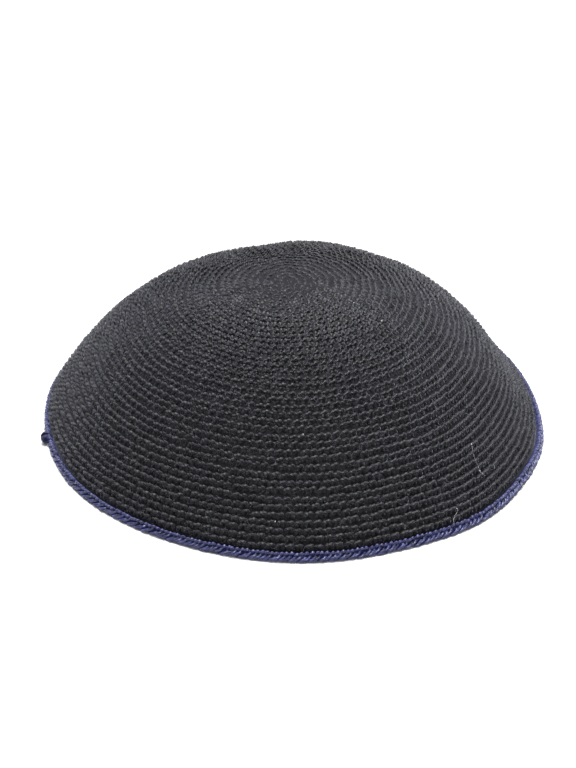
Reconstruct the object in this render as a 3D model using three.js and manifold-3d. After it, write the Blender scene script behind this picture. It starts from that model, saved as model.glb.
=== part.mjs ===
// A crocheted kippah skullcap, at rest on a table: a dome worked in rounds from its top outwards, a narrow
// edging in a second colour round its rim, and the knot that fastens off the edging's thread.
//
// Millimetres, +Z up. The origin is under the middle of the cap, on the plane that it rests on. The front of
// the cap faces -Y. A bearing is an angle round the cap, in degrees from +X towards +Y.
import * as THREE from "three";
import Module from "manifold-3d";
import { mergeVertices } from "three/addons/utils/BufferGeometryUtils.js";

// Overall sizes
const RIM_DIAMETER = 170; // across the rim, edging included, where no bulge adds to it
const CROWN_HEIGHT = 49.5; // from the rim's lower edge to the outside of the top
const CROWN_FLATNESS = 2.88; // power of the meridian's curve: 2 is a parabola, more is flatter on top
const TOP_SHIFT_X = -0.95; // how far the top leans off the rim's centre
const TOP_SHIFT_Y = -0.35;
const RIM_HOLD = 8; // power of the share: how close to the rim the dents stop lifting or lowering the wall

// Crochet
const WALL = 2.0; // thickness of the crown, over the ridges
const ROUNDS = 43; // rounds of stitches in the crown, each one a ridge
const RIDGE_DEPTH = 0.6; // how deep the groove between two rounds is

// Edging
const EDGING_HEIGHT = 3.4; // along the wall
const EDGING_THICKNESS = 2.7; // across the wall
const EDGING_PRESSED = 0.35; // how much its foot is flattened by resting on the table
const SEAM_GAP = 0.3; // between the crown's last round and the edging

// Fastening-off knot
const KNOT_LENGTH = 4.2; // along the rim
const KNOT_DEPTH = 3.2; // across the rim
const KNOT_HEIGHT = 3.2;
const KNOT_BEARING = -165.5;
const KNOT_SUNK = 1.5; // how far it is bedded in the edging
const KNOT_GAP = 0.3; // all round, in its bed

// Facets
const SIDES = 48; // round the crown and the edging
const EDGING_SECTION_POINTS = 10;
const KNOT_SIDES = 12;
const ROUNDS_PER_INNER_ROW = 3;
const MERIDIAN_STEPS = 600;
const SAME_POINT = 1e-4; // corners closer than this are one

// Where the crown stands proud of its regular form or sinks under it. at and reach are shares of the way from
// the top to the rim, spread is in degrees, and outset is a share of the rim's radius.
const CROWN_DENTS = [
  { bearing: 180, at: 0.93, spread: 40, reach: 0.1, outset: 0.013 },
  { bearing: 12, at: 0.86, spread: 40, reach: 0.15, outset: -0.024 },
  { bearing: 118, at: 0.42, spread: 32, reach: 0.22, outset: -0.018 },
  { bearing: 150, at: 0.55, spread: 25, reach: 0.2, outset: 0.005 },
];

// Where the rim leaves its circle. outset is a share of the rim's radius.
const RIM_BULGES = [
  { bearing: -46, spread: 17, outset: 0.036 },
  { bearing: -20, spread: 14, outset: 0.021 },
  { bearing: -6, spread: 18, outset: 0.006 },
  { bearing: -82, spread: 14, outset: 0.006 },
  { bearing: -120, spread: 22, outset: -0.016 },
  { bearing: -164, spread: 16, outset: -0.01 },
];

const BLACK_COTTON = new THREE.MeshStandardMaterial({
  color: 0x1d1d20,
  roughness: 0.92,
  metalness: 0,
});
const NAVY_COTTON = new THREE.MeshStandardMaterial({
  color: 0x2e2f6b,
  roughness: 0.85,
  metalness: 0,
});

const RIM_RADIUS = RIM_DIAMETER / 2;

// The crown's outline from the top to the rim: x is the distance from the axis, and y the height.
class Meridian extends THREE.Curve {
  constructor() {
    super();
    this.arcLengthDivisions = MERIDIAN_STEPS;
  }

  getPoint(t, target = new THREE.Vector3()) {
    return target.set(
      RIM_RADIUS * t,
      CROWN_HEIGHT * (1 - t ** CROWN_FLATNESS),
      0,
    );
  }
}
const meridian = new Meridian();
const MERIDIAN_LENGTH = meridian.getLength();

// A smooth bump: 1 at its middle, and near 0 two spreads away.
const bump = (distance, spread) => Math.exp(-((distance / spread) ** 2));

// The angle from one bearing to another, from -180 to 180 degrees.
const turnBetween = (a, b) => THREE.MathUtils.euclideanModulo(a - b + 180, 360) - 180;

function rimScale(bearing) {
  return RIM_BULGES.reduce(
    (sum, b) => sum + b.outset * bump(turnBetween(bearing, b.bearing), b.spread),
    1,
  );
}

function dentOutset(bearing, share) {
  const outset = CROWN_DENTS.reduce(
    (sum, d) =>
      sum +
      d.outset *
        bump(turnBetween(bearing, d.bearing), d.spread) *
        bump(share - d.at, d.reach),
    0,
  );
  return outset * RIM_RADIUS;
}

// A point of the cap's wall. share is how far down the meridian it is, from 0 at the top to 1 at the rim, and
// depth is how far it lies under the outside of the crown.
function wallPoint(bearing, share, depth) {
  const outline = meridian.getPointAt(share);
  const tangent = meridian.getTangentAt(share);
  const dent = dentOutset(bearing, share);
  const leanShare = outline.y / CROWN_HEIGHT;
  const heldLevel = 1 - share ** RIM_HOLD; // the rim stays level
  const radius =
    outline.x * (1 + (rimScale(bearing) - 1) * share ** 2) -
    tangent.y * (dent - depth);
  const height = outline.y + tangent.x * (dent * heldLevel - depth);
  const angle = THREE.MathUtils.degToRad(bearing);
  return new THREE.Vector3(
    radius * Math.cos(angle) + TOP_SHIFT_X * leanShare,
    radius * Math.sin(angle) + TOP_SHIFT_Y * leanShare,
    height,
  );
}

const bearingOf = (side) => (360 * side) / SIDES;

// Joins rings of SIDES points into a closed skin. Where pole points are given, a fan closes each end, and
// otherwise the last ring joins the first.
function skin(rings, startPole, endPole) {
  const points = rings.flat();
  const index = [];
  const at = (ring, side) => ring * SIDES + (side % SIDES);
  const joined = startPole ? rings.length - 1 : rings.length;
  for (let ring = 0; ring < joined; ring++) {
    const next = (ring + 1) % rings.length;
    for (let side = 0; side < SIDES; side++) {
      index.push(at(ring, side), at(next, side), at(next, side + 1));
      index.push(at(ring, side), at(next, side + 1), at(ring, side + 1));
    }
  }
  if (startPole) {
    const first = points.push(startPole) - 1;
    const last = points.push(endPole) - 1;
    for (let side = 0; side < SIDES; side++) {
      index.push(first, at(0, side), at(0, side + 1));
      index.push(last, at(rings.length - 1, side + 1), at(rings.length - 1, side));
    }
  }
  const geometry = new THREE.BufferGeometry().setFromPoints(points);
  geometry.setIndex(index);
  return geometry;
}

const ringAt = (share, depth) =>
  Array.from({ length: SIDES }, (_, side) =>
    wallPoint(bearingOf(side), share, depth),
  );

// The crown: ridged outside, one ridge to a round, and smooth inside.
function crownGeometry() {
  const lowerEdge = 1 - (EDGING_HEIGHT + SEAM_GAP) / MERIDIAN_LENGTH;
  const outside = [];
  for (let half = 1; half <= 2 * ROUNDS; half++) {
    const depth = half % 2 ? 0 : RIDGE_DEPTH; // crest, then groove
    outside.push(ringAt((lowerEdge * half) / (2 * ROUNDS), depth));
  }
  const innerRows = Math.ceil(ROUNDS / ROUNDS_PER_INNER_ROW);
  const inside = [];
  for (let row = innerRows; row >= 1; row--)
    inside.push(ringAt((lowerEdge * row) / innerRows, WALL));
  return skin(
    [...outside, ...inside],
    wallPoint(0, 0, RIDGE_DEPTH),
    wallPoint(0, 0, WALL),
  );
}

// The edging's section: an oval in the wall's own directions, worked out at one bearing. down runs along the
// meridian and depth into the wall, both in millimetres.
const EDGING_SECTION = Array.from({ length: EDGING_SECTION_POINTS }, (_, i) => {
  const turn = (2 * Math.PI * i) / EDGING_SECTION_POINTS;
  return {
    down: (EDGING_HEIGHT / 2) * (1 - Math.cos(turn)),
    depth: WALL / 2 + (EDGING_THICKNESS / 2) * Math.sin(turn),
  };
});
const edgingPoint = (bearing, { down, depth }) =>
  wallPoint(bearing, 1 - (EDGING_HEIGHT - down) / MERIDIAN_LENGTH, depth);
const TABLE_LEVEL =
  Math.min(...EDGING_SECTION.map((corner) => edgingPoint(0, corner).z)) +
  EDGING_PRESSED;

// The edging: a ring of that oval, pressed flat where it meets the table.
function edgingGeometry() {
  const rings = EDGING_SECTION.map((corner) =>
    Array.from({ length: SIDES }, (_, side) => {
      const point = edgingPoint(bearingOf(side), corner);
      point.z = Math.max(point.z, TABLE_LEVEL);
      return point;
    }),
  );
  return skin(rings.reverse());
}

// An oval knot bedded in the outer face of the edging. grown makes it larger all round.
function knotGeometry(grown = 0) {
  const angle = THREE.MathUtils.degToRad(KNOT_BEARING);
  const halfway = edgingPoint(KNOT_BEARING, {
    down: EDGING_HEIGHT / 2,
    depth: (WALL - EDGING_THICKNESS) / 2,
  });
  const outward = new THREE.Vector3(Math.cos(angle), Math.sin(angle), 0);
  const centre = halfway.addScaledVector(outward, KNOT_DEPTH / 2 - KNOT_SUNK);
  centre.z = Math.max(centre.z, TABLE_LEVEL + KNOT_HEIGHT / 2);
  return new THREE.SphereGeometry(1, KNOT_SIDES, KNOT_SIDES / 2)
    .scale(
      KNOT_DEPTH / 2 + grown,
      KNOT_LENGTH / 2 + grown,
      KNOT_HEIGHT / 2 + grown,
    )
    .rotateZ(angle)
    .translate(centre.x, centre.y, centre.z);
}

const wasm = await Module();
wasm.setup();

function toSolid(geometry) {
  const bare = geometry.clone();
  bare.deleteAttribute("normal");
  bare.deleteAttribute("uv");
  const merged = mergeVertices(bare, SAME_POINT);
  return new wasm.Manifold(
    new wasm.Mesh({
      numProp: 3,
      vertProperties: merged.attributes.position.array,
      triVerts: new Uint32Array(merged.index.array),
    }),
  );
}

function toGeometry(solid) {
  const mesh = solid.getMesh();
  const geometry = new THREE.BufferGeometry();
  geometry.setAttribute(
    "position",
    new THREE.BufferAttribute(mesh.vertProperties, 3),
  );
  geometry.setIndex(new THREE.BufferAttribute(mesh.triVerts, 1));
  return geometry;
}

function named(name, geometry, material) {
  geometry.computeVertexNormals();
  const mesh = new THREE.Mesh(geometry, material);
  mesh.name = name;
  return mesh;
}

const knotBed = toSolid(knotGeometry(KNOT_GAP));
const edging = toGeometry(toSolid(edgingGeometry()).subtract(knotBed));

const kippah = new THREE.Group();
kippah.add(
  named("crown", crownGeometry(), BLACK_COTTON),
  named("edging", edging, NAVY_COTTON),
  named("finishing_knot", knotGeometry(), NAVY_COTTON),
);

// The origin goes under the middle of the cap, at the level of the table.
const extent = new THREE.Box3().setFromObject(kippah);
const middle = extent.getCenter(new THREE.Vector3());
kippah.position.set(-middle.x, -middle.y, -extent.min.z);

export default kippah;
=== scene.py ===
"""A black crocheted kippah with a navy edging, at rest on a pale floor.

The dome is worked in rounds of single crochet from its top outwards. Each stitch shows an arch with two humps
over two slanting legs on the outside and a bar on the inside, all in one thread.

Metres, +Z up, and the front of the cap faces -Y. A bearing is an angle round the cap, in degrees from +X
towards +Y. A share is how far down the meridian a place is, from 0 at the top to 1 at the rim. A depth is how
far it lies under the outside of the wall.
"""
import math
from typing import NamedTuple

import bpy
import numpy as np
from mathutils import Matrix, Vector


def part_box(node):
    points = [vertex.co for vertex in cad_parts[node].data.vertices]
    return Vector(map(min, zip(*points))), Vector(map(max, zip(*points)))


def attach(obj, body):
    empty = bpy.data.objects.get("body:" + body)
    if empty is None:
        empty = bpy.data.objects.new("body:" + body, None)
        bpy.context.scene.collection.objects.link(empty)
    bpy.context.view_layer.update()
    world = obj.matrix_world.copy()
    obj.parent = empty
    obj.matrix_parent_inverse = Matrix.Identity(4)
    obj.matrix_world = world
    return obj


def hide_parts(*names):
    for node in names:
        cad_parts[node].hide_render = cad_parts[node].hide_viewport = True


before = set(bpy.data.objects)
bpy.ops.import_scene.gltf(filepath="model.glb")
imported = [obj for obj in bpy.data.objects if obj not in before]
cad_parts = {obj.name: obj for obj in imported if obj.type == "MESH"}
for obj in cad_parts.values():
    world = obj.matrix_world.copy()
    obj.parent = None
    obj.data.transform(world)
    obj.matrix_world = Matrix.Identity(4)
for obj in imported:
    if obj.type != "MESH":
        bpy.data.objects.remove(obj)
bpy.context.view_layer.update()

rng = np.random.default_rng(seed=7)

# The form, as the CAD model has it
RIM_RADIUS = 0.085
CROWN_HEIGHT = 0.0495
CROWN_FLATNESS = 2.88  # power of the meridian's curve
TOP_SHIFT = (-0.00095, -0.00035)  # how far the top leans off the rim's centre
RIM_HOLD = 8  # power of the share: how close to the rim the dents stop lifting or lowering the wall
WALL = 0.002  # thickness of the crown
EDGING_HEIGHT = 0.0034  # along the wall
SEAM = 0.0003  # between the crown's last round and the edging
# at and reach are shares, spread is in degrees, and outset is a share of the rim's radius
CROWN_DENTS = (
    dict(bearing=180, at=0.93, spread=40, reach=0.1, outset=0.013),
    dict(bearing=12, at=0.86, spread=40, reach=0.15, outset=-0.024),
    dict(bearing=118, at=0.42, spread=32, reach=0.22, outset=-0.018),
    dict(bearing=150, at=0.55, spread=25, reach=0.2, outset=0.005),
)
RIM_BULGES = (
    dict(bearing=-46, spread=17, outset=0.036),
    dict(bearing=-20, spread=14, outset=0.021),
    dict(bearing=-6, spread=18, outset=0.006),
    dict(bearing=-82, spread=14, outset=0.006),
    dict(bearing=-120, spread=22, outset=-0.016),
    dict(bearing=-164, spread=16, outset=-0.01),
)

# The stitches' places
ROUNDS = 43
STITCH_WIDTH = 0.00262
FEWEST_STITCHES = 6  # in a round
MOST_STITCHES = 176
NARROWING = 0.7  # power of a crowded stitch's width: how much thinner its strands are
UNEVEN = 0.05  # spread of a stitch's place and size, in stitches
UNEVEN_FAT = 1.5 * UNEVEN
UNEVEN_DEPTH = 0.00006
STRAY_ACROSS = 0.05  # spread of a strand's place in its stitch, in stitches
EDGE_STRAY_DOWN = 0.03  # and of an edging strand's, in edging heights
TILT = 0.1  # how unevenly the arches rise, in rounds over a stitch's width
WAVER = 0.05  # how far a round strays up and down, in rounds
WAVER_TURNS = (2, 3, 5, 9)  # how many times round the cap each of its waves does so
WAVER_PHASE = 6  # how late a wave may start, in radians

# The stitches' relief is flatter at the top: shares, and how much of it is left at each
TOP_RELIEF = ((0.0, 0.14, 0.33), (0.33, 0.48, 1.0))
MIDDLE_DEPTH = 0.0008  # the depth that flattened strands draw near to

# The wall goes in and out in slow waves, and is followed from just beside the point where all bearings meet
RIPPLE = 0.00014  # height of a wave
RIPPLE_WAVES = 14
RIPPLE_ROUND = (3, 14)  # from 3 up to 13 whole waves round the cap
RIPPLE_DOWN = (2, 9)  # and 2 to 9 half waves from the top to the rim
POLE = 1e-4  # least share

# The cores: shells that fill between the strands, in darker, duller copies of the thread that paint the shade
# in the gaps
CORE_OUTSIDE = 0.0013  # depth of the crown core's outside
CORE_INSIDE = 0.0018  # and of its inside
CORE_OVERLAP = 0.0012  # how far the crown's core reaches past its lower edge
CORE_STEP = 2.5  # degrees
EDGE_CORE_HEIGHT = 0.36  # half the height of the edging's core, in edging heights
EDGE_CORE_THICK = 0.00045  # half its thickness
EDGE_CORE_POINTS = 13  # round its section
EDGE_CORE_STEP = 2.0  # degrees

# The loose fibres
FUZZ_FIBRES = 8000
FUZZ_RADIUS = 0.000022
FUZZ_BARE = 0.002  # share of the area at the very top that has none
FUZZ_LENGTH = (0.0006, 0.0022)
FUZZ_CURL = 70  # spread of the turn over a fibre's length, in degrees
FUZZ_ROOT = 0.0004  # depth
FUZZ_RISE = (0.0004, 0.0011)  # above the root
FUZZ_ARC = 0.8  # how much of a half wave a fibre's rise and fall is
FUZZ_STEPS, FUZZ_SIDES = 3, 3  # along a fibre, and round it

# The knot
KNOT_TURNS = 5  # of the thread round the ball
KNOT_THREAD = 0.0004  # half the thread's thickness
KNOT_SWAY = 0.9  # how far the turns sway to each side, in radians
KNOT_STEPS, KNOT_SIDES = 28, 8  # to a turn, and round the thread
KNOT_CORE_STEP, KNOT_CORE_RINGS = 20, 12  # degrees to a side, and rings from pole to pole
KNOT_CORE_REACH = 89  # degrees up and down that the rings go

# Cotton thread close to, in its materials
SHADE_SCALE, SHADE_DETAIL = 420, 4  # slow changes of shade
SHADE_STOPS = (0.3, 0.75)  # where the shade is darkest and lightest
FIBRE_SCALE, FIBRE_DETAIL = 4200, 3
PLIES = 3
TWIST_LENGTH = 0.0018  # in which a ply goes once round the strand
PLY_RELIEF, FIBRE_RELIEF = 0.5, 0.4
BUMP_STRENGTH, BUMP_DISTANCE = 0.7, 0.00014
SHEEN_ROUGHNESS = 0.45

# The floor and the light
FLOOR_REACH = 30.0
FLOOR_DROP = 0.0001  # under the cap
FLOOR_GREY, FLOOR_ROUGHNESS = 0.42, 0.9
WHITE_UP_TO, GREY_FROM = 0.04, 0.12  # height of a direction in the sky
SKY_GREY = 0.22
TOP_LIGHT_PLACE, TOP_LIGHT_POWER, TOP_LIGHT_ANGLE = (-0.04, 0.20, 1.0), 9.5, math.radians(39)
FRONT_LIGHT_PLACE, FRONT_LIGHT_POWER, FRONT_LIGHT_SIZE = (0.1, -0.9, 0.9), 7.0, 0.6

# The camera
CAMERA_ELEVATION = math.radians(33.03)
CAMERA_DISTANCE = 6 * RIM_RADIUS
SENSOR_WIDTH = 36  # millimetres
CLIP_START = 0.01
PHOTO_LONG_SIDE = 768
FOCAL_PIXELS = 1479.6
FRAMING_X = 4.3  # how far the cap's middle lies right of the picture's, in pixels
FRAMING_Y = 22.7  # and below it


def bump(distance, spread):
    return np.exp(-((distance / spread) ** 2))


def turn_between(a, b):
    return (a - b + 180) % 360 - 180


def outline_height(t):
    """Height of the crown's regular outline, where t is the distance from the axis in rim radii."""
    return CROWN_HEIGHT * (1 - t**CROWN_FLATNESS)


MERIDIAN_T = np.linspace(0, 1, num=1201)
MERIDIAN_STEPS = np.hypot(np.diff(RIM_RADIUS * MERIDIAN_T), np.diff(outline_height(MERIDIAN_T)))
MERIDIAN_RUN = np.concatenate(([0], np.cumsum(MERIDIAN_STEPS)))  # its length from the top to each t
MERIDIAN_LENGTH = MERIDIAN_RUN[-1]
EDGING_TOP = 1 - EDGING_HEIGHT / MERIDIAN_LENGTH
LOWER_EDGE = 1 - (EDGING_HEIGHT + SEAM) / MERIDIAN_LENGTH  # of the crown
PITCH = LOWER_EDGE / ROUNDS


def outline_t(share):
    return np.interp(share * MERIDIAN_LENGTH, MERIDIAN_RUN, MERIDIAN_T)


def form_point(bearing, share, depth):
    """Points of the wall round the form's own axis."""
    bearing, share, depth = np.broadcast_arrays(bearing, share, depth)
    t = outline_t(share)
    outline_r = RIM_RADIUS * t
    outline_z = outline_height(t)
    slope = -CROWN_HEIGHT * CROWN_FLATNESS * t ** (CROWN_FLATNESS - 1) / RIM_RADIUS
    run, fall = 1 / np.hypot(1, slope), slope / np.hypot(1, slope)
    dent = RIM_RADIUS * sum(
        d["outset"]
        * bump(turn_between(bearing, d["bearing"]), d["spread"])
        * bump(share - d["at"], d["reach"])
        for d in CROWN_DENTS
    )
    rim = sum(b["outset"] * bump(turn_between(bearing, b["bearing"]), b["spread"]) for b in RIM_BULGES)
    lean = outline_z / CROWN_HEIGHT
    radius = outline_r * (1 + rim * share**2) - fall * (dent - depth)
    height = outline_z + run * (dent * (1 - share**RIM_HOLD) - depth)
    angle = np.radians(bearing)
    x = radius * np.cos(angle) + TOP_SHIFT[0] * lean
    y = radius * np.sin(angle) + TOP_SHIFT[1] * lean
    return np.stack((x, y, height), -1)


def frame_shift():
    """From the form's own axis to the frame, worked out from where the CAD crown lies."""
    bearing, share = np.arange(360.0)[:, None], np.linspace(0, LOWER_EDGE, num=200)[None]
    outside = form_point(bearing, share, 0).reshape(-1, 3)
    low, high = (np.array(corner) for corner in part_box("crown"))
    middle = (low + high) / 2 - (outside.min(0) + outside.max(0)) / 2
    return np.array((middle[0], middle[1], high[2] - outside[:, 2].max()))


SHIFT = frame_shift()
WAVES = [
    (
        rng.integers(*RIPPLE_ROUND),
        rng.uniform(*RIPPLE_DOWN),
        rng.uniform(0, math.tau),
        rng.uniform(0, math.tau),
    )
    for _ in range(RIPPLE_WAVES)
]


def ripple(bearing, share):
    """Slow unevenness of the fabric, in and out."""
    angle = np.radians(bearing)
    waves = sum(np.sin(k * angle + p) * np.sin(m * math.pi * share + q) for k, m, p, q in WAVES)
    return RIPPLE * waves * np.sin(math.pi * np.clip(share, 0, 1))


def wall(bearing, share, depth):
    """Points of the rippled wall, in the frame."""
    share = np.clip(share, POLE, None)
    return form_point(bearing, share, depth - ripple(bearing, share)) + SHIFT


def outward(bearing, share):
    """The wall's own outward direction."""
    way = wall(bearing, share, 0.0) - wall(bearing, share, WALL)
    return way / np.linalg.norm(way, axis=-1, keepdims=True)


class Strands:
    """Collects tubes and grids of quads, and makes one piece of them."""

    def __init__(self):
        self.points, self.faces, self.uvs, self.count = [], [], [], 0

    def add(self, path, out, wide, thick, sides):
        """path and out are (strands, steps, 3). wide and thick are half-sizes, across out and along it."""
        strands, steps = path.shape[:2]
        along = np.gradient(path, axis=1)
        along /= np.linalg.norm(along, axis=-1, keepdims=True)
        across = np.cross(along, out)
        across /= np.linalg.norm(across, axis=-1, keepdims=True)
        up = np.cross(across, along)
        turn = math.tau * np.arange(sides) / sides
        wide = np.broadcast_to(wide, (strands, steps))[..., None, None]
        thick = np.broadcast_to(thick, (strands, steps))[..., None, None]
        rings = (
            path[:, :, None]
            + wide * np.cos(turn)[:, None] * across[:, :, None]
            + thick * np.sin(turn)[:, None] * up[:, :, None]
        )
        corner = self.count + np.arange(strands * steps * sides).reshape(strands, steps, sides)
        after = np.roll(corner, -1, axis=2)
        quads = np.stack((corner[:, :-1], corner[:, 1:], after[:, 1:], after[:, :-1]), -1)

        # u goes once round a strand, and v runs along it in metres, from a start of its own
        lengths = np.linalg.norm(np.diff(path, axis=1), axis=-1)
        run = np.concatenate((np.zeros((strands, 1)), np.cumsum(lengths, axis=1)), axis=1)
        run = run + rng.uniform(0, 1, (strands, 1))
        v0 = np.broadcast_to(run[:, :-1, None], quads.shape[:3])
        v1 = np.broadcast_to(run[:, 1:, None], quads.shape[:3])
        u0 = np.broadcast_to(np.arange(sides) / sides, quads.shape[:3])
        u1 = u0 + 1 / sides
        uvs = np.stack((np.stack((u0, u0, u1, u1), -1), np.stack((v0, v1, v1, v0), -1)), -1)
        self.collect(rings, quads, uvs)

    def add_grid(self, grid):
        """grid is (rings, sides, 3), closed round its sides. Its outside is on the left as it goes on."""
        rings, sides = grid.shape[:2]
        corner = self.count + np.arange(rings * sides).reshape(rings, sides)
        after = np.roll(corner, -1, axis=1)
        quads = np.stack((corner[:-1], corner[1:], after[1:], after[:-1]), -1)
        self.collect(grid, quads, np.zeros((quads.size, 2)))

    def add_on_wall(self, bearing, share, depth, wide, thick, sides):
        """Strands that follow the wall. bearing, share and depth are (strands, steps)."""
        self.add(wall(bearing, share, depth), outward(bearing, share), wide, thick, sides)

    def collect(self, points, quads, uvs):
        """Takes in one more set of points, the quads on them, and a uv for each corner of those."""
        self.points.append(points.reshape(-1, 3))
        self.faces.append(quads.reshape(-1, 4))
        self.uvs.append(uvs.reshape(-1, 2))
        self.count += len(self.points[-1])

    def piece(self, name, material, node):
        points = np.concatenate(self.points)
        points[:, 2] = np.maximum(points[:, 2], 0)  # the cap is pressed flat where it meets the floor
        mesh = bpy.data.meshes.new(name)
        mesh.from_pydata(points, [], np.concatenate(self.faces), shade_flat=False)
        mesh.uv_layers.new(name="strand").data.foreach_set("uv", np.concatenate(self.uvs).ravel())
        mesh.materials.append(material)
        made = bpy.data.objects.new(name, mesh)
        bpy.context.collection.objects.link(made)
        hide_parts(node)
        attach(made, "root")


# A stitch's strands. across is in stitch widths, down is in rounds from the round's middle towards the rim,
# depth is in metres, and fat is a share of the strand's thickness.
ARCH = np.array(
    [
        # across, down, depth, fat
        (-0.43, 0.01, 0.00140, 0.7),
        (-0.28, -0.14, 0.00048, 1.0),
        (-0.08, -0.11, 0.00088, 0.85),
        (0.13, -0.25, 0.00010, 1.15),
        (0.29, -0.22, 0.00040, 1.0),
        (0.38, -0.12, 0.00140, 0.7),
    ]
)
LEFT_LEG = np.array(
    [
        # across, down, depth, fat
        (-0.10, -0.34, 0.00150, 0.9),
        (-0.15, -0.10, 0.00138, 1.0),
        (-0.22, 0.12, 0.00130, 1.05),
        (-0.30, 0.30, 0.00146, 1.0),
        (-0.37, 0.48, 0.00180, 0.8),
    ]
)
RIGHT_LEG = np.array(
    [
        # across, down, depth, fat
        (0.14, -0.34, 0.00150, 0.9),
        (0.18, -0.10, 0.00138, 1.0),
        (0.24, 0.12, 0.00130, 1.05),
        (0.28, 0.30, 0.00146, 1.0),
        (0.31, 0.48, 0.00180, 0.8),
    ]
)
BAR = np.array(
    [
        # across, down, depth, fat
        (-0.48, 0.18, 0.00150, 0.9),
        (-0.20, -0.02, 0.00172, 1.0),
        (0.20, -0.02, 0.00172, 1.0),
        (0.48, 0.18, 0.00150, 0.9),
    ]
)
ARCH_WIDE, ARCH_THICK, ARCH_SIDES = 0.00043, 0.00045, 6
LEG_WIDE, LEG_THICK, LEG_SIDES = 0.00060, 0.00054, 5
BAR_WIDE, BAR_THICK, BAR_SIDES = 0.00050, 0.00042, 5


class Stitches(NamedTuple):
    """The crown's stitches, each of them an entry in these arrays."""

    round: np.ndarray
    bearing: np.ndarray
    share: np.ndarray
    width: np.ndarray  # degrees
    fat: np.ndarray
    tilt: np.ndarray

    def of(self, rounds):
        """Only the stitches of some rounds."""
        chosen = (self.round >= rounds.start) & (self.round < rounds.stop)
        return Stitches(*(column[chosen] for column in self))

    def lay(self, strands, template, wide, thick, sides, flattened=True):
        """Adds one strand of each stitch. flattened strands have less relief near the top."""
        across, down, depth, fat = template.T
        count = len(self.bearing)
        wobble = 1 + UNEVEN * rng.normal(size=(count, 1))
        strayed = across + STRAY_ACROSS * rng.normal(size=(count, 1))
        bearing = self.bearing[:, None] + self.width[:, None] * strayed
        share = self.share[:, None] + PITCH * (down * wobble + self.tilt[:, None] * across)
        fat = self.fat[:, None] * fat
        relief = np.interp(self.share, *TOP_RELIEF)[:, None] if flattened else 1.0
        deep = MIDDLE_DEPTH + (depth - MIDDLE_DEPTH) * relief + UNEVEN_DEPTH * rng.normal(size=(count, 1))
        strands.add_on_wall(bearing, share, deep, wide * fat, thick * fat, sides)


def place_stitches():
    """All the crown's stitches, round by round from the top."""
    rounds = []
    for index in range(ROUNDS):
        middle = (index + 0.5) * PITCH
        radius = RIM_RADIUS * outline_t(middle)
        count = int(np.clip(round(math.tau * radius / STITCH_WIDTH), FEWEST_STITCHES, MOST_STITCHES))
        width = 360 / count
        stitch = np.arange(count)
        start = rng.uniform(0, 360)
        waver = sum(
            rng.normal() * np.sin(np.radians(k * width * stitch) + rng.uniform(0, WAVER_PHASE))
            for k in WAVER_TURNS
        )
        share = middle + WAVER * PITCH * waver
        rounds.append(np.stack(np.broadcast_arrays(index, start + width * stitch, share, width, radius)))
    index, bearing, share, width, radius = np.concatenate(rounds, axis=1)
    count = len(index)
    bearing += width * UNEVEN * rng.normal(size=count)
    share += PITCH * UNEVEN * rng.normal(size=count)
    narrow = np.minimum(1, np.radians(width) * radius / STITCH_WIDTH) ** NARROWING
    fat = narrow * (1 + UNEVEN_FAT * rng.normal(size=count))
    tilt = TILT * rng.normal(size=count)
    return Stitches(index, bearing, share, width, fat, tilt)


def add_node(tree, kind, inputs, operation=None):
    """A new node. Each of its inputs is given a plain value, or the output that feeds it."""
    node = tree.nodes.new(kind)
    if operation:
        node.operation = operation
    for name, value in inputs.items():
        if isinstance(value, bpy.types.NodeSocket):
            tree.links.new(value, node.inputs[name])
        else:
            node.inputs[name].default_value = value
    return node


def add_math(tree, operation, *inputs):
    return add_node(tree, "ShaderNodeMath", dict(enumerate(inputs)), operation).outputs[0]


def add_noise(tree, place, scale, detail):
    inputs = {"Vector": place, "Scale": scale, "Detail": detail}
    return add_node(tree, "ShaderNodeTexNoise", inputs).outputs[0]


def add_ramp(tree, value, positions, colours):
    """A colour that goes from one to another as the value passes from one position to the other."""
    node = add_node(tree, "ShaderNodeValToRGB", {0: value})
    for stop, position, colour in zip(node.color_ramp.elements, positions, colours):
        stop.position = position
        stop.color = (*colour, 1)
    return node.outputs[0]


def thread_material(name, dark, light, sheen, sheen_tint, roughness, gloss=0.25):
    """Cotton thread: plies twisted round the strand, fine fibres, and slow changes of shade."""
    material = bpy.data.materials.new(name)
    material.use_nodes = True
    tree = material.node_tree
    tree.nodes.clear()
    place = add_node(tree, "ShaderNodeTexCoord", {}).outputs["Object"]
    colour = add_ramp(tree, add_noise(tree, place, SHADE_SCALE, SHADE_DETAIL), SHADE_STOPS, (dark, light))

    uv = add_node(tree, "ShaderNodeUVMap", {})
    uv.uv_map = "strand"
    split = add_node(tree, "ShaderNodeSeparateXYZ", {0: uv.outputs[0]})
    plies = add_math(tree, "MULTIPLY", split.outputs["X"], PLIES * math.tau)
    twist = add_math(tree, "MULTIPLY_ADD", split.outputs["Y"], math.tau / TWIST_LENGTH, plies)
    fibres = add_math(tree, "MULTIPLY", add_noise(tree, place, FIBRE_SCALE, FIBRE_DETAIL), FIBRE_RELIEF)
    relief = add_math(tree, "MULTIPLY_ADD", add_math(tree, "SINE", twist), PLY_RELIEF, fibres)
    bumps = add_node(
        tree, "ShaderNodeBump", {"Strength": BUMP_STRENGTH, "Distance": BUMP_DISTANCE, "Height": relief}
    )
    shader = add_node(
        tree,
        "ShaderNodeBsdfPrincipled",
        {
            "Base Color": colour,
            "Roughness": roughness,
            "Specular IOR Level": gloss,
            "Sheen Weight": sheen,
            "Sheen Roughness": SHEEN_ROUGHNESS,
            "Sheen Tint": (*sheen_tint, 1),
            "Normal": bumps.outputs[0],
        },
    )
    add_node(tree, "ShaderNodeOutputMaterial", {0: shader.outputs[0]})
    return material


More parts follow.
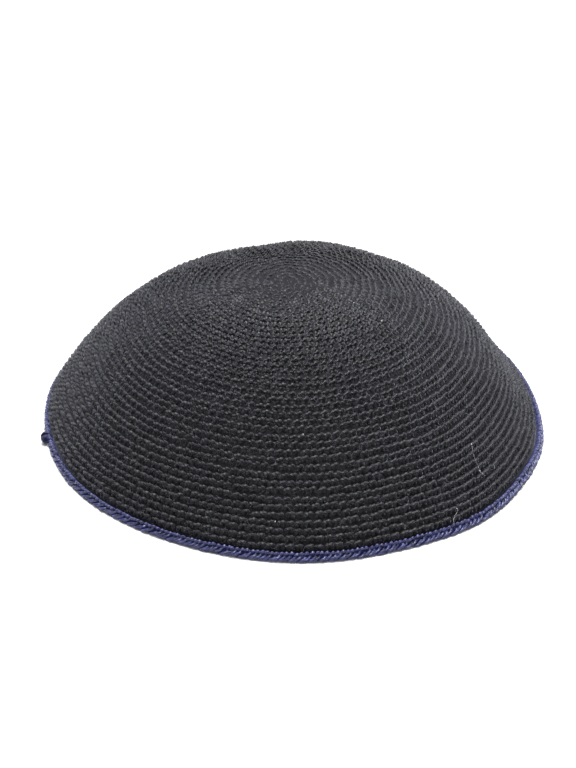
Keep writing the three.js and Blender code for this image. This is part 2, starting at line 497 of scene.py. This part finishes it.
BLACK = thread_material(
    "black_cotton",
    dark=(0.004, 0.004, 0.0044),
    light=(0.0185, 0.0185, 0.021),
    sheen=0.145,
    sheen_tint=(0.76, 0.78, 1.0),
    roughness=0.48,
)
NAVY = thread_material(
    "navy_cotton",
    dark=(0.006, 0.007, 0.036),
    light=(0.037, 0.041, 0.145),
    sheen=0.25,
    sheen_tint=(0.66, 0.69, 1.0),
    roughness=0.42,
    gloss=0.5,
)
FUZZ = thread_material(
    "cotton_fuzz",
    dark=(0.03, 0.03, 0.034),
    light=(0.07, 0.07, 0.078),
    sheen=0.3,
    sheen_tint=(0.8, 0.85, 1.0),
    roughness=0.7,
)
# A darker, duller copy of the black cotton: painted shade for the gaps between the strands
PAINTED_SHADE_COTTON = thread_material(
    "painted_shade_cotton",
    dark=(0.004, 0.004, 0.0045),
    light=(0.009, 0.009, 0.011),
    sheen=0.12,
    sheen_tint=(0.8, 0.8, 1.0),
    roughness=0.8,
    gloss=0.1,
)
# A darker, duller copy of the navy cotton: painted shade between the edging's strands and between the knot's
# turns
PAINTED_SHADE_NAVY = thread_material(
    "painted_shade_navy",
    dark=(0.006, 0.006, 0.026),
    light=(0.019, 0.020, 0.080),
    sheen=0.1,
    sheen_tint=(0.5, 0.55, 1.0),
    roughness=0.8,
    gloss=0.1,
)
KNOT = thread_material(
    "navy_knot",
    dark=(0.006, 0.006, 0.022),
    light=(0.022, 0.024, 0.075),
    sheen=0.15,
    sheen_tint=(0.6, 0.64, 1.0),
    roughness=0.5,
)
LINT = thread_material(
    "pale_lint",
    dark=(0.25, 0.25, 0.26),
    light=(0.5, 0.5, 0.52),
    sheen=0.3,
    sheen_tint=(1.0, 1.0, 1.0),
    roughness=0.7,
)

# Which rounds each piece of the crown takes, so that no piece is too large
CROWN_BANDS = {
    "crown_top": range(0, 21),
    "crown_upper": range(21, 29),
    "crown_middle": range(29, 36),
    "crown_lower": range(36, ROUNDS),
}


def crown_outside(crochet):
    for name, rounds in CROWN_BANDS.items():
        strands = Strands()
        stitches = crochet.of(rounds)
        for leg in (LEFT_LEG, RIGHT_LEG):
            stitches.lay(strands, leg, LEG_WIDE, LEG_THICK, LEG_SIDES)
        stitches.lay(strands, ARCH, ARCH_WIDE, ARCH_THICK, ARCH_SIDES)
        strands.piece(name, BLACK, "crown")


def crown_inside(crochet):
    strands = Strands()
    crochet.lay(strands, BAR, BAR_WIDE, BAR_THICK, BAR_SIDES, flattened=False)
    strands.piece("crown_inside", BLACK, "crown")


def crown_core():
    """A shell between the strands outside and inside, as flattened near the top as they are, in a darker
    cotton that is painted shade.
    """
    strands = Strands()
    bearing = np.arange(0, 360, CORE_STEP)[None]
    share = np.linspace(0, LOWER_EDGE + CORE_OVERLAP / MERIDIAN_LENGTH, num=ROUNDS + 2)[:, None]
    outer = wall(bearing, share, CORE_OUTSIDE * np.interp(share, *TOP_RELIEF))
    inner = wall(bearing, share, CORE_INSIDE)
    strands.add_grid(np.concatenate((outer, inner[::-1])))
    strands.piece("crown_core", PAINTED_SHADE_COTTON, "crown")


# The edging's strands. down is in edging heights from its top, and the rest is as in the stitches.
EDGE_NUB = np.array(
    [
        # across, down, depth, fat
        (-0.15, 0.36, 0.00150, 0.8),
        (-0.10, 0.22, 0.00040, 0.95),
        (-0.03, 0.12, -0.00028, 1.1),
        (0.04, 0.10, -0.00028, 1.1),
        (0.10, 0.18, 0.00050, 0.95),
        (0.14, 0.32, 0.00150, 0.8),
    ]
)
EDGE_SLANT = np.array(
    [
        # across, down, depth, fat
        (-0.62, 0.84, 0.00130, 0.7),
        (-0.42, 0.80, 0.00060, 0.95),
        (-0.14, 0.72, 0.00026, 1.1),
        (0.14, 0.58, 0.00022, 1.1),
        (0.38, 0.43, 0.00056, 0.95),
        (0.52, 0.33, 0.00140, 0.7),
    ]
)
EDGE_FOOT = np.array(
    [
        # across, down, depth, fat
        (-0.55, 0.90, 0.00110, 0.8),
        (-0.30, 0.86, 0.00085, 1.0),
        (0.00, 0.84, 0.00075, 1.1),
        (0.30, 0.86, 0.00085, 1.0),
        (0.55, 0.90, 0.00110, 0.8),
    ]
)
NUB_THICK, SLANT_THICK, FOOT_THICK, EDGE_SIDES = 0.00037, 0.00036, 0.00052, 6
NUBS_ON = (0.0, 0.48)  # how far on in its stitch each nub lies
SLANTS_ON = ((0.0, 0.05), (0.5, -0.03))  # how far on and how much lower each slant lies


def edging():
    strands = Strands()
    count = MOST_STITCHES
    width = 360 / count
    places = width * (np.arange(count) + UNEVEN * rng.normal(size=count))

    def lay(template, thick, on=0.0, lower=0.0, inside=False):
        across, down, depth, fat = template.T
        bearing = places[:, None] + width * (across + on + STRAY_ACROSS * rng.normal(size=(count, 1)))
        down = down + lower + EDGE_STRAY_DOWN * rng.normal(size=(count, 1))
        share = EDGING_TOP + EDGING_HEIGHT / MERIDIAN_LENGTH * down
        deep = (WALL - depth if inside else depth) + UNEVEN_DEPTH * rng.normal(size=(count, 1))
        fat = fat * (1 + UNEVEN * rng.normal(size=(count, 1)))
        strands.add_on_wall(bearing, share, deep, thick * fat, thick * fat, EDGE_SIDES)

    for on in NUBS_ON:
        lay(EDGE_NUB, NUB_THICK, on)
    for on, lower in SLANTS_ON:
        lay(EDGE_SLANT, SLANT_THICK, on, lower)
        lay(EDGE_SLANT, SLANT_THICK, on, lower, inside=True)
    lay(EDGE_FOOT, FOOT_THICK)
    strands.piece("edging_stitches", NAVY, "edging")


def edging_core():
    """A ring of oval section between the edging's strands outside and inside, in darker navy that is painted
    shade.
    """
    strands = Strands()
    bearing = np.arange(0, 360, EDGE_CORE_STEP)[None]
    turn = np.linspace(0, math.tau, num=EDGE_CORE_POINTS)[:, None]
    down = 0.5 - EDGE_CORE_HEIGHT * np.cos(turn)
    share = 1 - EDGING_HEIGHT * (1 - down) / MERIDIAN_LENGTH
    strands.add_grid(wall(bearing, share, WALL / 2 - EDGE_CORE_THICK * np.sin(turn)))
    strands.piece("edging_core", PAINTED_SHADE_NAVY, "edging")


def across_wall(bearing, share, heading, travel):
    """Bearings and shares that lie some metres along a heading, where 0 is round the cap and 90 down it."""
    turn = np.radians(heading)
    radius = RIM_RADIUS * outline_t(share)
    bearing = bearing + np.degrees(travel * np.cos(turn) / radius)
    return bearing, share + travel * np.sin(turn) / MERIDIAN_LENGTH


def fuzz():
    """Short loose fibres that stand off the cotton."""
    strands = Strands()
    each = (FUZZ_FIBRES, 1)
    along = np.linspace(0, 1, num=FUZZ_STEPS)
    share = LOWER_EDGE * np.sqrt(rng.uniform(FUZZ_BARE, 1, each))
    bearing = rng.uniform(0, 360, each)
    heading = rng.uniform(0, 360, each) + rng.normal(0, FUZZ_CURL, each) * along
    travel = rng.uniform(*FUZZ_LENGTH, each) * along
    depth = FUZZ_ROOT - rng.uniform(*FUZZ_RISE, each) * np.sin(FUZZ_ARC * math.pi * along)
    bearing, share = across_wall(bearing, share, heading, travel)
    strands.add_on_wall(bearing, share, depth, FUZZ_RADIUS, FUZZ_RADIUS, FUZZ_SIDES)
    strands.piece("crown_fuzz", FUZZ, "crown")


# Pale lint caught on the stitches: a hair, two short fibres, and specks
LINT_HAIR = np.array(
    [
        # bearing, share, depth
        (-40.9, 0.791, -0.0002),
        (-41.8, 0.809, -0.0001),
        (-42.3, 0.830, 0.0000),
        (-42.5, 0.853, -0.0001),
        (-42.9, 0.873, -0.0002),
        (-42.4, 0.882, -0.0003),
        (-42.1, 0.891, -0.0001),
    ]
)
LINT_FIBRE = np.array(
    [
        # bearing, share, depth
        (-52.8, 0.935, -0.0002),
        (-53.5, 0.942, -0.0003),
        (-54.2, 0.949, -0.0003),
        (-54.6, 0.955, -0.0002),
        (-54.8, 0.966, -0.0001),
    ]
)
LINT_TICK = np.array(
    [
        # bearing, share, depth
        (-37.8, 0.881, -0.0001),
        (-38.0, 0.886, -0.0002),
        (-38.3, 0.892, -0.0001),
    ]
)
LINT_SPECKS = np.array(
    [
        # bearing, share, depth
        (-31.0, 0.228, 0.0),
        (-34.5, 0.340, 0.0),
        (-3.5, 0.444, 0.0),
        (3.0, 0.813, 0.0),
        (-86.5, 0.630, 0.0),
        (-93.5, 0.881, 0.0),
        (-40.9, 0.790, -0.0002),
        (-42.8, 0.872, -0.0001),
        (-52.9, 0.928, -0.0001),
    ]
)
LINT_RADIUS, LINT_SIDES = 0.00005, 4
SPECK_RADIUS, SPECK_LENGTH, SPECK_SIDES = 0.00016, 0.0006, 5
SPECK_FAT = np.array((0.3, 1.0, 1.0, 0.3))


def lint():
    strands = Strands()
    for hair in (LINT_HAIR, LINT_FIBRE, LINT_TICK):
        bearing, share, depth = hair.T[:, None]
        strands.add_on_wall(bearing, share, depth, LINT_RADIUS, LINT_RADIUS, LINT_SIDES)
    bearing, share, depth = LINT_SPECKS.T[:, :, None]
    heading = rng.uniform(0, 360, bearing.shape)
    travel = SPECK_LENGTH * np.linspace(0, 1, num=len(SPECK_FAT))
    bearing, share = across_wall(bearing, share, heading, travel)
    fat = SPECK_RADIUS * SPECK_FAT
    strands.add_on_wall(bearing, share, depth, fat, fat, SPECK_SIDES)
    strands.piece("lint", LINT, "crown")


def on_ball(turn, rise):
    """Directions from a ball's middle."""
    return np.stack(
        np.broadcast_arrays(np.cos(turn) * np.cos(rise), np.sin(turn) * np.cos(rise), np.sin(rise)), -1
    )


def knot():
    """The end of the edging's thread, wound round on itself in a small ball."""
    low, high = (np.array(corner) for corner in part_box("finishing_knot"))
    middle, half = (low + high) / 2, (high - low) / 2

    strands = Strands()
    turn = np.linspace(0, math.tau * KNOT_TURNS, num=KNOT_STEPS * KNOT_TURNS)
    way = on_ball(turn, KNOT_SWAY * np.sin(turn / KNOT_TURNS))[:, (0, 2, 1)]  # wound about the Y axis
    strands.add((middle + way * half)[None], way[None], KNOT_THREAD, KNOT_THREAD, KNOT_SIDES)
    strands.piece("finishing_knot_thread", KNOT, "finishing_knot")

    # A ball under the turns, in darker navy that is painted shade between them
    strands = Strands()
    turn = np.radians(np.arange(0, 360, KNOT_CORE_STEP))[None]
    rise = np.radians(np.linspace(-KNOT_CORE_REACH, KNOT_CORE_REACH, num=KNOT_CORE_RINGS))[:, None]
    strands.add_grid(middle + on_ball(turn, rise) * (half - KNOT_THREAD))
    strands.piece("finishing_knot_core", PAINTED_SHADE_NAVY, "finishing_knot")


def floor():
    mesh = bpy.data.meshes.new("floor")
    corners = [(x * FLOOR_REACH, y * FLOOR_REACH, 0) for x, y in ((-1, -1), (1, -1), (1, 1), (-1, 1))]
    mesh.from_pydata(corners, [], [(0, 1, 2, 3)])
    made = bpy.data.objects.new("floor", mesh)
    made.location.z = -FLOOR_DROP
    bpy.context.collection.objects.link(made)
    pale = bpy.data.materials.new("pale_floor")
    pale.use_nodes = True
    shader = pale.node_tree.nodes["Principled BSDF"]
    shader.inputs["Base Color"].default_value = (FLOOR_GREY, FLOOR_GREY, FLOOR_GREY, 1)
    shader.inputs["Roughness"].default_value = FLOOR_ROUGHNESS
    mesh.materials.append(pale)


def sky():
    """Grey above, and white near the horizon, where it meets the far end of the floor."""
    world = bpy.data.worlds.new("studio")
    bpy.context.scene.world = world
    world.use_nodes = True
    tree = world.node_tree
    direction = add_node(tree, "ShaderNodeTexCoord", {}).outputs["Generated"]
    height = add_node(tree, "ShaderNodeSeparateXYZ", {0: direction}).outputs["Z"]
    colour = add_ramp(tree, height, (WHITE_UP_TO, GREY_FROM), ((1, 1, 1), (SKY_GREY, SKY_GREY, SKY_GREY)))
    tree.links.new(colour, tree.nodes["Background"].inputs[0])


def add_looking(data, place, direction):
    """Adds a camera or a light that looks in a direction."""
    made = bpy.data.objects.new(data.name, data)
    made.location = place
    made.rotation_mode = "QUATERNION"
    made.rotation_quaternion = direction.to_track_quat("-Z", "Y")
    bpy.context.collection.objects.link(made)
    return made


def lights():
    """A wide light from above and a weaker one from the front, both towards the cap."""
    top = bpy.data.lights.new("top_light", "SUN")
    top.energy = TOP_LIGHT_POWER
    top.angle = TOP_LIGHT_ANGLE
    add_looking(top, TOP_LIGHT_PLACE, -Vector(TOP_LIGHT_PLACE))
    front = bpy.data.lights.new("front_light", "AREA")
    front.energy = FRONT_LIGHT_POWER
    front.size = FRONT_LIGHT_SIZE
    add_looking(front, FRONT_LIGHT_PLACE, -Vector(FRONT_LIGHT_PLACE))
    bpy.context.scene.view_settings.view_transform = "Standard"


def camera():
    data = bpy.data.cameras.new("camera")
    data.sensor_width = SENSOR_WIDTH
    data.lens = FOCAL_PIXELS * SENSOR_WIDTH / PHOTO_LONG_SIDE
    data.shift_x = -FRAMING_X / PHOTO_LONG_SIDE
    data.shift_y = FRAMING_Y / PHOTO_LONG_SIDE
    data.clip_start = CLIP_START
    back = Vector((0, -math.cos(CAMERA_ELEVATION), math.sin(CAMERA_ELEVATION)))
    bpy.context.scene.camera = add_looking(data, Vector(SHIFT) + back * CAMERA_DISTANCE, -back)


camera()
crochet = place_stitches()
crown_outside(crochet)
crown_inside(crochet)
crown_core()
fuzz()
lint()
edging()
edging_core()
knot()
floor()
sky()
lights()
